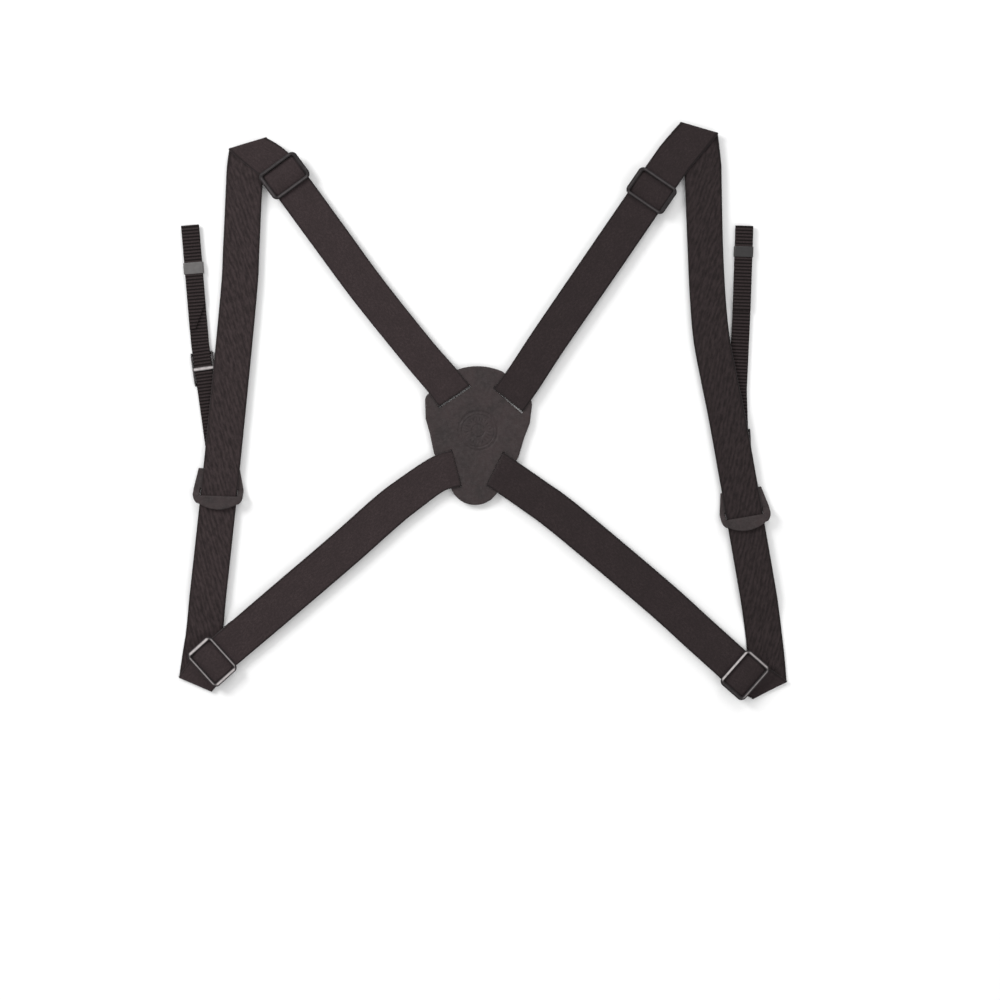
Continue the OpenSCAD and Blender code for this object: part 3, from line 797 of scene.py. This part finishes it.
class HARNESS_OT_stage(bpy.types.Operator):
    """Make the table, the camera above it and the soft light"""

    bl_idname = "harness.stage"
    bl_label = "Table, Camera and Light"

    def execute(self, context):
        settings = context.scene.harness_stage
        scene = context.scene
        scene.view_settings.view_transform = "Standard"
        t = np.linspace(-3, 3, 25)
        x, y = np.meshgrid(t, t, indexing="ij")
        grid = np.stack([x, y, 0 * x - 0.00001], -1).reshape(-1, 3) / MM
        table = make("table", grid, quads(np.arange(625).reshape(25, 25)))
        table.data.materials.append(material("table_top", table_top, settings))
        view = bpy.data.cameras.new("camera")
        view.lens = settings.lens
        camera = bpy.data.objects.new("camera", view)
        camera.location = (0.0114, -0.0582, settings.height)
        scene.collection.objects.link(camera)
        scene.camera = camera
        world = bpy.data.worlds.new("room")
        world.use_nodes = True
        sky = world.node_tree.nodes["Background"]
        sky.inputs["Color"].default_value = (1.0, 1.0, 1.0, 1.0)
        sky.inputs["Strength"].default_value = settings.soft
        scene.world = world
        for name, place, size, share in (
            ("key", (-1.35, 0.95, 1.05), 0.7, 1.0),
            ("fill", (1.3, -1.1, 1.5), 1.4, 0.45),
            ("back", (0.5, 1.7, 1.3), 1.0, 0.4),
        ):
            lamp = bpy.data.lights.new(name, "AREA")
            lamp.size = size
            lamp.energy = settings.lamp * share
            light = bpy.data.objects.new(name, lamp)
            light.location = place
            light.rotation_euler = Vector(place).to_track_quat("Z", "Y").to_euler()
            scene.collection.objects.link(light)
        return {"FINISHED"}


class HARNESS_OT_elastic(bpy.types.Operator):
    """Make each side's elastic strap and the layers that come back under the diagonals"""

    bl_idname = "harness.elastic"
    bl_label = "Elastic Straps"

    def execute(self, context):
        settings = context.scene.harness_elastic
        wave = settings.ripple / MM

        def ripple(s, w):
            return wave * (np.sin(s / 9.0) * np.cos(w / 7.0) + 0.6 * np.sin(s / 4.3 + w / 5.0))

        for side in SIDES:
            run = distinct(whole_elastic(side))
            verts, faces, uv, kind = plate(*run, STRAP_T, samples=settings.samples, relief=ripple)
            slanted = uv * [1, -1 if side == "left" else 1]
            obj = make(f"elastic_{side}", verts, faces, slanted, elastic_cloth(settings, side), kind)
            kinds = ("over", "through", "under", "strap", "fold")
            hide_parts(*[f"{kind}_{row}_{side}" for kind in kinds for row in ("upper", "lower")],
                        f"strap_front_{side}")
            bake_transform(obj)
        for corner in CORNERS:
            self.come_back(corner, elastic_cloth(settings, corner.split("_")[1]))
        return {"FINISHED"}

    def come_back(self, corner, cloth):
        """The under layer beyond the hinge, ending 26 mm short of its slider's middle and moving with the
        wing.
        """
        side = corner.split("_")[1]
        sign = np.sign(HINGE_X[side])
        rows = through(corner_stations(corner))
        place = slider_place(corner)
        ahead = (rows[:, :2] - np.array(place[:2])) @ unit(place[2] + 90)[:2]
        beyond = (rows[:, 0] - HINGE_X[side]) * sign > 14
        rows = rows[beyond & (ahead < -26)]
        rows[:, 3] = 24.0
        run = flat_rows(rows, UNDER_Z, False)
        obj = strap("return_strap_" + corner, run, UNDER_T * 0.92, cloth, samples=11)
        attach(obj, "wing_" + side)
        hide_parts("return_" + corner)
        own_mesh(obj)


class HARNESS_OT_sliders(bpy.types.Operator):
    """Make the four strap sliders, the sewn strap end on each centre bar and the strap's bulge in each"""

    bl_idname = "harness.sliders"
    bl_label = "Strap Sliders"

    def execute(self, context):
        settings = context.scene.harness_hardware
        for corner in CORNERS:
            cloth = elastic_cloth(context.scene.harness_elastic, corner.split("_")[1])
            upper = corner.startswith("upper")
            # Painted highlight: dim glints on the shoulder sliders, bright glints on the lower ones.
            name, painted_highlight = ("slider_dull", settings.dull) if upper else ("slider_rubbed", settings.bright)
            metal = material(name, satin_metal, name, settings.dark, painted_highlight)
            place = slider_place(corner)
            body = "slider_" + corner
            frame_obj = self.frame(corner, place, metal, settings)
            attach(frame_obj, body)
            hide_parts(body)
            bulge = self.bulge(corner, place, cloth)
            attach(bulge, body)
            end = self.sewn_end(corner, place, cloth)
            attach(end, body)
            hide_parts("anchor_" + corner)
        return {"FINISHED"}

    def frame(self, corner, place, metal, settings):
        """A rounded rectangular ring of two bars and two rails, the rails' uprights and the low centre bar.
        The painted highlight, standing in for the lamp's glints, is a bell across the ring's top, strongest
        in the middle of each side."""
        bar = settings.bar / MM
        low, high = node_box("slider_" + corner)
        ring_z = high[2] - 0.8
        path, out = rounded_loop(SLIDER_SIZE[0] - bar, SLIDER_SIZE[1] - bar, 3.6 - bar / 2)
        rail = 1 + 0.25 * np.abs(out[:, 0]) ** 3
        profile, t = section(bar, 1.6, 0.55, 32)
        path3 = np.column_stack([path, np.full(len(path), ring_z)])
        out3 = np.column_stack([out, np.zeros(len(out))]) * rail[:, None]
        verts, faces = ring(path3, out3, (0, 0, 1), profile)
        # Painted highlight: each side's share of GLINTS, as a bell across the top of the bar or rail.
        share = np.stack([np.clip(out[:, 1], 0, 1), np.clip(-out[:, 0], 0, 1), np.clip(-out[:, 1], 0, 1),
                          np.clip(out[:, 0], 0, 1)], -1) ** 6 @ np.array(GLINTS[corner])
        ridge = np.exp(-((np.cos(t)[None, :] / (0.1 + 0.13 * share[:, None])) ** 2)) * (np.sin(t) > 0)
        parts = [(verts, faces, np.clip(share[:, None] * ridge, 0, 1).ravel())]
        floor, thick = low[2], 1.5 if corner.startswith("upper") else 1.0
        for x in (-13.9, 13.9):
            v, f = lump((1.5, 8.0, ring_z - floor), 7.0)
            parts.append((v + [x, 0, (ring_z + floor) / 2], f, np.zeros(len(v))))
        v, f = lump((28.6, 4.0, thick), 6.0)
        parts.append((v + [0, 0, floor + thick / 2], f, np.zeros(len(v))))
        verts, faces, values = gather(parts)
        glide = make("tri_glide_" + corner, placed(verts, place), faces, slots=(metal,), values=values)
        return facing_out(glide)

    def bulge(self, corner, place, cloth):
        """The strap where it rises over the centre bar, framed by the slider: a low hump whose height is a
        smooth bell of the distance along the strap."""
        y = np.linspace(-8.6, 8.6, 31)
        top = node_box("slider_" + corner)[1][2]
        base = MAIN_Z + STRAP_T / 2 - 0.1
        z = base + (top - 0.75 - base) * np.clip(1 - (y / 8.5) ** 2, 0, 1) ** 1.3
        centre = placed(np.stack([0 * y, y, z], -1), place)
        slope = np.gradient(z, y)
        normal = normalised(np.array([0, 0, 1.0]) - slope[:, None] * unit(place[2] + 90))
        across = np.tile(unit(place[2]) * 12.7, (len(y), 1))
        return strap("strap_bulge_" + corner, (centre, across, normal), 0.5, cloth, samples=17, round_u=1.2)

    def sewn_end(self, corner, place, cloth):
        """The strap's end in the slider's own plane: in along the bottom, round the centre bar, back over it
        and down on to itself, as straight runs joined by a half circle and two soft bends."""
        upper = corner.startswith("upper")
        low, high, lap, thick = (UNDER_Z, 3.5, 1.72, 1.0) if upper else (1.65, 3.62, 2.66, 0.85)
        mid, r = (low + high) / 2, (high - low) / 2
        t = np.linspace(-90, 90, 15)
        n = 60
        y = np.concatenate([np.linspace(-27.0, 2.2, n), 2.4 + r * np.cos(np.radians(t)),
                            np.linspace(2.2, -25.5, n)])
        z = np.concatenate([UNDER_Z + (low - UNDER_Z) * ease(y[:n], -26, -20.5),
                            mid + r * np.sin(np.radians(t)), high + (lap - high) * ease(-y[-n:], 3, 9.5)])
        centre = placed(np.stack([0 * y, y, z], -1), place)
        dy, dz = np.gradient(y), np.gradient(z)
        size = np.hypot(dy, dz)
        normal = np.outer(dz / size, unit(place[2] + 90)) + np.outer(-dy / size, [0, 0, 1])
        across = np.tile(unit(place[2]) * 12.1, (len(y), 1))
        return strap("sewn_end_" + corner, distinct((centre, across, normal)), thick, cloth, samples=11)


class HARNESS_OT_yoke(bpy.types.Operator):
    """Make the leather yoke with its slots and pressed ring"""

    bl_idname = "harness.yoke"
    bl_label = "Leather Yoke"

    def execute(self, context):
        settings = context.scene.harness_leather
        verts, faces = self.surface(settings)
        obj = facing_out(make("yoke_leather", verts, faces, slots=(material("leather", leather, settings),)))
        cutters = [self.cutter(corner_stations(c)[0], SLOT_GAPS[c]) for c in CORNERS]
        for cutter in cutters:
            cut = obj.modifiers.new("slot", "BOOLEAN")
            cut.object = cutter
            cut.solver = "EXACT"
        graph = context.evaluated_depsgraph_get()
        mesh = bpy.data.meshes.new_from_object(obj.evaluated_get(graph), depsgraph=graph)
        obj.modifiers.clear()
        obj.data = mesh
        for cutter in cutters:
            bpy.data.objects.remove(cutter)
        obj.data.polygons.foreach_set("use_smooth", np.ones(len(obj.data.polygons), bool))
        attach(obj, "yoke_group")
        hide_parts("yoke")
        return {"FINISHED"}

    def outline(self):
        """The yoke's edge in its own frame: a shallow dome, rounded ears, straight sides drawn in towards a
        round tongue, mirrored about its middle."""
        def arc(c, r, a0, a1, n):
            t = np.radians(np.linspace(a0, a1, n))
            return np.array(c) + r * np.stack([np.cos(t), np.sin(t)], -1)

        flank = [(34.9, 10), (31.6, 0), (28.3, -13), (22.5, -24)]
        half = np.vstack([arc((0, 5.4), 41, 90, 68, 9), arc((29.6, 22), 6.2, 52, -12, 12), flank,
                          arc((0, -29.2), 17.2, -24, -90, 16)])
        return placed(np.vstack([half, (half * [-1, 1])[::-1][1:-1]]), YOKE_PLACE)

    def surface(self, settings):
        """A closed leather plate in rings round the medallion: ring k lies at share p of the way to the edge.
        Its top falls off in a quarter ellipse at the edge. Pressed in it are two grooves of raised-cosine
        section and a row of ticks, each a product of a bell along the radius and one round the ring."""
        edge = self.outline()
        legs = [straight(a, b, 0.5)[:-1] for a, b in zip(edge, np.roll(edge, -1, 0))]
        centre = np.array(MEDALLION)
        rel = np.vstack(legs) - centre
        angle = np.arctan2(rel[:, 1], rel[:, 0])
        order = np.argsort(angle)
        reach = np.hypot(rel[:, 0], rel[:, 1])[order]
        angle = angle[order]
        n = 432
        theta = np.linspace(-np.pi, np.pi, n, endpoint=False)
        radius = np.interp(theta, np.r_[angle[-1] - 2 * np.pi, angle, angle[0] + 2 * np.pi],
                           np.r_[reach[-1], reach, reach[0]])
        r0 = settings.medallion / MM
        near = np.linspace(0.4, r0 + 2.5, 54)
        far = 1 - (1 - np.linspace(0, 1, 30)) ** 1.8
        rr = np.vstack([near[:, None] + 0 * theta, (r0 + 2.5) + (radius - r0 - 2.5) * far[1:, None]])
        rim = settings.edge / MM
        gap = np.clip((radius - rr) / (rim * 1.6), 0, 1)
        fall = rim * (1 - np.sqrt(1 - (1 - gap) ** 2))

        def bell(x, width):
            return 0.5 + 0.5 * np.cos(np.pi * np.clip(x / width, -1, 1))

        pressed = 0.42 * bell(rr - r0, 1.3) + 0.3 * bell(rr - (r0 - 2.2), 0.7) + 0.38 * bell(rr - 4.2, 0.9)
        spoke = np.mod(theta * settings.ticks / (2 * np.pi), 1) - 0.5
        pressed = pressed + 0.34 * bell(rr - (r0 - 5.2), 1.9) * bell(spoke, 0.24)
        low, high = node_box("yoke")
        top = high[2] - fall - pressed * (rr < radius - 1)
        x, y = centre[0] + rr * np.cos(theta), centre[1] + rr * np.sin(theta)
        upper = np.stack([x, y, top], -1)
        under_r = np.linspace(1, 0.05, 12)[:, None] * radius
        bottom_gap = np.clip((radius - under_r) / rim, 0, 1)
        zb = low[2] + 0.5 * rim * (1 - np.sqrt(1 - (1 - bottom_gap) ** 2))
        lower = np.stack([centre[0] + under_r * np.cos(theta), centre[1] + under_r * np.sin(theta), zb], -1)
        rows = np.concatenate([upper, lower])
        k = len(rows)
        index = np.arange(k * n).reshape(k, n)
        a, b = index[:-1], index[1:]
        faces = np.stack([a, b, np.roll(b, -1, 1), np.roll(a, -1, 1)], -1).reshape(-1, 4).tolist()
        verts = np.vstack([rows.reshape(-1, 3), [[*centre, upper[0, :, 2].mean()], [*centre, low[2]]]])
        first, last = index[0], index[-1]
        faces += np.stack([first, np.roll(first, -1), np.full(n, k * n)], -1).tolist()
        faces += np.stack([np.roll(last, -1), last, np.full(n, k * n + 1)], -1).tolist()
        return verts, faces

    def cutter(self, station, gaps):
        """A four-sided post as tall as it needs to pass through the yoke: straight along the strap's outer
        side, and clear of its inner side by one gap at each end."""
        outer, inner, half = -0.05, -1.32, 12.75
        path = np.array([(-half, outer), (-half, inner - gaps[0]), (half, inner - gaps[1]), (half, outer)])
        local = placed(np.column_stack([path, np.zeros(4)]), station[:3])
        verts = np.vstack([local + [0, 0, -3], local + [0, 0, 12]])
        i = np.arange(4)
        j = np.roll(i, -1)
        faces = np.stack([i, j, j + 4, i + 4], -1).tolist() + [i[::-1].tolist(), (i + 4).tolist()]
        return facing_out(make("slot_cutter", verts, faces))


class HARNESS_OT_tabs(bpy.types.Operator):
    """Make the leather connector tabs that run along the front straps"""

    bl_idname = "harness.tabs"
    bl_label = "Leather Tabs"

    def execute(self, context):
        settings = context.scene.harness_leather
        hide = material("leather", leather, settings)
        for side in SIDES:
            low, high = node_box("tab_" + side)
            verts, faces = self.surface(low[2] + 0.9, high[2] - 0.9, TAB_SHIFT[side])
            obj = make("connector_tab_" + side, placed(verts, TAB_PLACE[side]), faces, slots=(hide,))
            facing_out(obj)
            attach(obj, "tab_" + side)
            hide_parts("tab_" + side)
        return {"FINISHED"}

    def half_width(self, y):
        """Half the tab's width at each height: a straight taper above, round ears beside the slot and a
        shallow arc below."""
        taper = TAB_HALF - (y - 3) * (TAB_HALF - 13.8) / 14
        ear = 8.8 + np.sqrt(np.clip(64 - (y + 0.5) ** 2, 0, None))
        arc = np.sqrt(np.clip(23**2 - (y - 12.5) ** 2, 0, None))
        below = np.where(y > -6.5, np.minimum(ear, arc + 3), arc)
        return np.where(y > 3, taper, np.where(y > -0.5, TAB_HALF, below))

    def surface(self, down, up, shift):
        """One leather plate in rows up the tab and columns across it, in front of the strap below the slot
        and behind it above. Beside the slot its height goes from one to the other as 3tt - 2ttt. Each face
        stands off by 0.9 mm times an elliptic edge factor of the distance to the nearest edge."""
        slot, low, high = 12.5, -1.2, 3.0
        rows = np.concatenate([-10.49 + 9.29 * np.linspace(0, 1, 26) ** 1.6, np.linspace(low, high, 15)[1:],
                               np.linspace(high, 16, 20)[1:], [16.3, 16.6, 16.8, 16.95, 17.0]])
        rim = TAB_HALF - np.array([0, 0.08, 0.3, 0.6])
        inner = TAB_HALF - 1
        columns = np.concatenate([-rim, np.linspace(-inner, shift - slot, 9),
                                  np.linspace(shift - slot, shift + slot, 41)[1:-1],
                                  np.linspace(shift + slot, inner, 9), rim[::-1]])
        f = columns / TAB_HALF
        y = rows[:, None] + 0 * f[None, :]
        x = f[None, :] * self.half_width(rows)[:, None]
        z = up + (down - up) * ease(y, low, high)
        mid = np.stack([x, y, z], -1)
        edge = np.vstack([mid[:, 0], mid[:, -1], mid[-1]])[:, :2]
        edge = np.vstack([edge, straight((-13.8, 17), (13.8, 17), 0.3)])
        away = np.sqrt(((mid[:, :, None, :2] - edge) ** 2).sum(-1)).min(-1)
        away[:, [0, -1]] = 0
        away[[0, -1]] = 0
        hole = np.hypot(np.maximum(np.abs(x - shift) - slot, 0), np.maximum(np.maximum(low - y, y - high), 0))
        e = np.minimum(edge_factor(away, 0.8), edge_factor(hole, 0.8))
        e[e < 1e-3] = 0
        normal = np.cross(np.gradient(mid, axis=1), np.gradient(mid, axis=0))
        normal /= np.maximum(np.linalg.norm(normal, axis=2, keepdims=True), 1e-9)
        between = (rows > low + 1e-6) & (rows < high - 1e-6)
        inside = (np.abs(columns - shift) < slot - 1e-6)[None, :] & between[:, None]
        rise = normal * (0.9 * e)[:, :, None]
        return sheet_with_hole(mid + rise, mid - rise, e == 0, inside)


class HARNESS_OT_webbing(bpy.types.Operator):
    """Make the narrow ribbed webbings with their loops and tails"""

    bl_idname = "harness.webbing"
    bl_label = "Narrow Webbing"

    def execute(self, context):
        settings = context.scene.harness_webbing
        cloth = material("narrow_webbing", narrow_webbing, settings)
        pitch = settings.rib / MM

        def ribs(s, w):
            return 0.07 * np.cos(2 * np.pi * s / pitch)

        for side in SIDES:
            run = self.route(side)
            slant = (TAIL[side][1], -0.37) if TAIL[side][1] else None
            verts, faces, uv, _ = plate(*run, 0.78, round_u=0.35, round_v=0.4, samples=21, relief=ribs,
                                        slant=slant)
            obj = make("lug_webbing_" + side, verts, faces, uv, (cloth,))
            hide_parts(f"tab_web_{side}", f"lug_back_{side}", f"lug_fold_{side}", f"lug_tail_{side}")
            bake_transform(obj)
        return {"FINISHED"}

    def route(self, side):
        """Under the tab, up a little ramp, along to the loop's end, over in a half circle and back as the
        tail. Plan corners are rounded by averaging neighbouring points."""
        points = np.array(WEBBING[side], float)
        legs = [straight(a, b, 0.35) for a, b in zip(points[:-1], points[1:])]
        plan = np.vstack([legs[0]] + [leg[1:] for leg in legs[1:]])
        kernel = np.ones(25) / 25
        padded = np.pad(plan, ((12, 12), (0, 0)), mode="edge")
        soft = np.stack([np.convolve(padded[:, k], kernel, "valid") for k in (0, 1)], -1)
        soft[:14], soft[-14:] = plan[:14], plan[-14:]
        s = np.concatenate([[0], np.cumsum(np.hypot(*np.diff(soft, axis=0).T))])
        low, high = level("lug_back_" + side)[0], level("lug_tail_" + side)[0]
        start = 0.53
        run = np.column_stack([soft, start + (low - start) * ease(s, 11, 19)])
        out = normalised(points[-1] - points[-2])
        t = np.linspace(-80, 80, 15)
        r = (high - low) / 2
        arc = np.column_stack([points[-1] + np.outer(r * np.cos(np.radians(t)), out),
                               (low + high) / 2 + r * np.sin(np.radians(t))])
        back = straight(points[-1], points[-1] - TAIL[side][0] * out, 0.35)
        tail = np.column_stack([back, np.full(len(back), high)])
        centre = np.vstack([run, arc, tail[1:]])
        tangent = normalised(np.gradient(centre, axis=0))
        flat = normalised(np.gradient(soft, axis=0))
        across = np.vstack([np.column_stack([flat[:, 1], -flat[:, 0]]),
                            np.tile([out[1], -out[0]], (len(arc) + len(tail) - 1, 1))])
        across = np.column_stack([across * 6.0, np.zeros(len(across))])
        return distinct((centre, across, -normalised(np.cross(tangent, across))))


class HARNESS_OT_hardware(bpy.types.Operator):
    """Make the keepers and the three-bar slides on the narrow webbing"""

    bl_idname = "harness.hardware"
    bl_label = "Keepers and Three-Bar Slides"

    def execute(self, context):
        settings = context.scene.harness_hardware
        for side in SIDES:
            light = side == "left"
            # The left keeper gets the colour with the painted highlight.
            name = "keeper_light" if light else "keeper_dark"
            colour = settings.keeper_light if light else settings.keeper_dark
            hoop = self.keeper(side, material(name, moulded, name, colour))
            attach(hoop, "keeper_" + side)
            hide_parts("keeper_" + side)
            # The three-bar slides share the bright painted glints of the lower sliders.
            metal = material("slider_rubbed", satin_metal, "slider_rubbed", settings.dark, settings.bright)
            slide = self.slide(side, metal)
            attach(slide, "web_slide_" + side)
            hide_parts("web_slide_" + side)
        return {"FINISHED"}

    def keeper(self, side, plastic):
        """A flat hoop: a thin rounded section carried round a rounded rectangle that stands across the
        webbing."""
        low, high = node_box("keeper_" + side)
        height = high[2] - low[2]
        width, length = (13.7, 7.7) if side == "left" else (13.2, 7.0)
        path, out = rounded_loop(width - 0.5, height - 0.5, 1.0, 72)
        profile, _ = section(0.5, length, 0.4, 20)
        path3 = np.column_stack([path[:, 0], np.zeros(len(path)), path[:, 1] + (low[2] + high[2]) / 2])
        out3 = np.column_stack([out[:, 0], np.zeros(len(out)), out[:, 1]])
        verts, faces = ring(path3, out3, (0, 1, 0), profile)
        place = (*middle("keeper_" + side)[:2], KEEPER_ANGLE[side])
        return facing_out(make("tail_keeper_" + side, placed(verts, place), faces, slots=(plastic,)))

    def slide(self, side, metal):
        """Two rails, two end bars below the webbing and a centre bar above it, each a rounded block."""
        place = (*middle("web_slide_" + side)[:2], BUCKLE_ANGLE[side])
        low, high = node_box("web_slide_" + side)
        tall = high[2] - low[2]
        parts = []
        # The values are painted highlight: growing towards the rails' tops, and a thin line along the top of
        # the centre bar.
        for x in (-6.98, 6.98):
            v, f = lump((1.05, 22.5, tall), 4.0)
            parts.append((v + [x, 0, (low[2] + high[2]) / 2], f, 0.12 * np.clip(v[:, 2] / tall * 2, 0, 1)))
        for y in (-10.0, 10.0):
            v, f = lump((15.0, 2.4, 0.8), 3.5)
            parts.append((v + [0, y, low[2] + 0.4], f, np.zeros(len(v))))
        v, f = lump((15.0, 2.6, 0.8), 3.5)
        parts.append((v + [0, 0, high[2] - 0.4], f, (v[:, 2] > 0.1) * np.exp(-((v[:, 1] / 0.9) ** 2))))
        verts, faces, values = gather(parts)
        slide = make("three_bar_slide_" + side, placed(verts, place), faces, slots=(metal,), values=values)
        return facing_out(slide)


class HARNESS_OT_stitching(bpy.types.Operator):
    """Give the sewn joints their thread"""

    bl_idname = "harness.stitching"
    bl_label = "Stitching"

    def execute(self, context):
        thread = material("thread", sewing_thread, context.scene.harness_webbing)
        names = [f"stitch_{c}" for c in CORNERS] + [f"tab_stitch_{s}" for s in SIDES]
        for name in names:
            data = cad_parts[name].data
            data.materials.clear()
            data.materials.append(thread)
        return {"FINISHED"}


class HARNESS_PT_panel(bpy.types.Panel):
    """The harness's pieces and their settings"""

    bl_label = "Harness"
    bl_idname = "HARNESS_PT_panel"
    bl_space_type = "VIEW_3D"
    bl_region_type = "UI"
    bl_category = "Harness"

    def draw(self, context):
        layout = self.layout
        for operator in OPERATORS:
            layout.operator(operator.bl_idname)
        for name, group in SETTINGS.items():
            box = layout.box()
            box.label(text=group.__name__)
            for key in group.__annotations__:
                box.prop(getattr(context.scene, name), key)


OPERATORS = (
    HARNESS_OT_stage,
    HARNESS_OT_yoke,
    HARNESS_OT_elastic,
    HARNESS_OT_sliders,
    HARNESS_OT_tabs,
    HARNESS_OT_webbing,
    HARNESS_OT_hardware,
    HARNESS_OT_stitching,
)
SETTINGS = {
    "harness_elastic": ElasticSettings,
    "harness_leather": LeatherSettings,
    "harness_webbing": WebbingSettings,
    "harness_hardware": HardwareSettings,
    "harness_stage": StageSettings,
}


def register():
    for cls in (*SETTINGS.values(), *OPERATORS, HARNESS_PT_panel):
        bpy.utils.register_class(cls)
    for name, group in SETTINGS.items():
        setattr(bpy.types.Scene, name, PointerProperty(type=group))


def unregister():
    for name in SETTINGS:
        delattr(bpy.types.Scene, name)
    for cls in (HARNESS_PT_panel, *reversed(OPERATORS), *reversed(SETTINGS.values())):
        bpy.utils.unregister_class(cls)


def main():
    register()
    for operator in OPERATORS:
        group, name = operator.bl_idname.split(".")
        getattr(getattr(bpy.ops, group), name)()


if __name__ == "__main__":
    main()
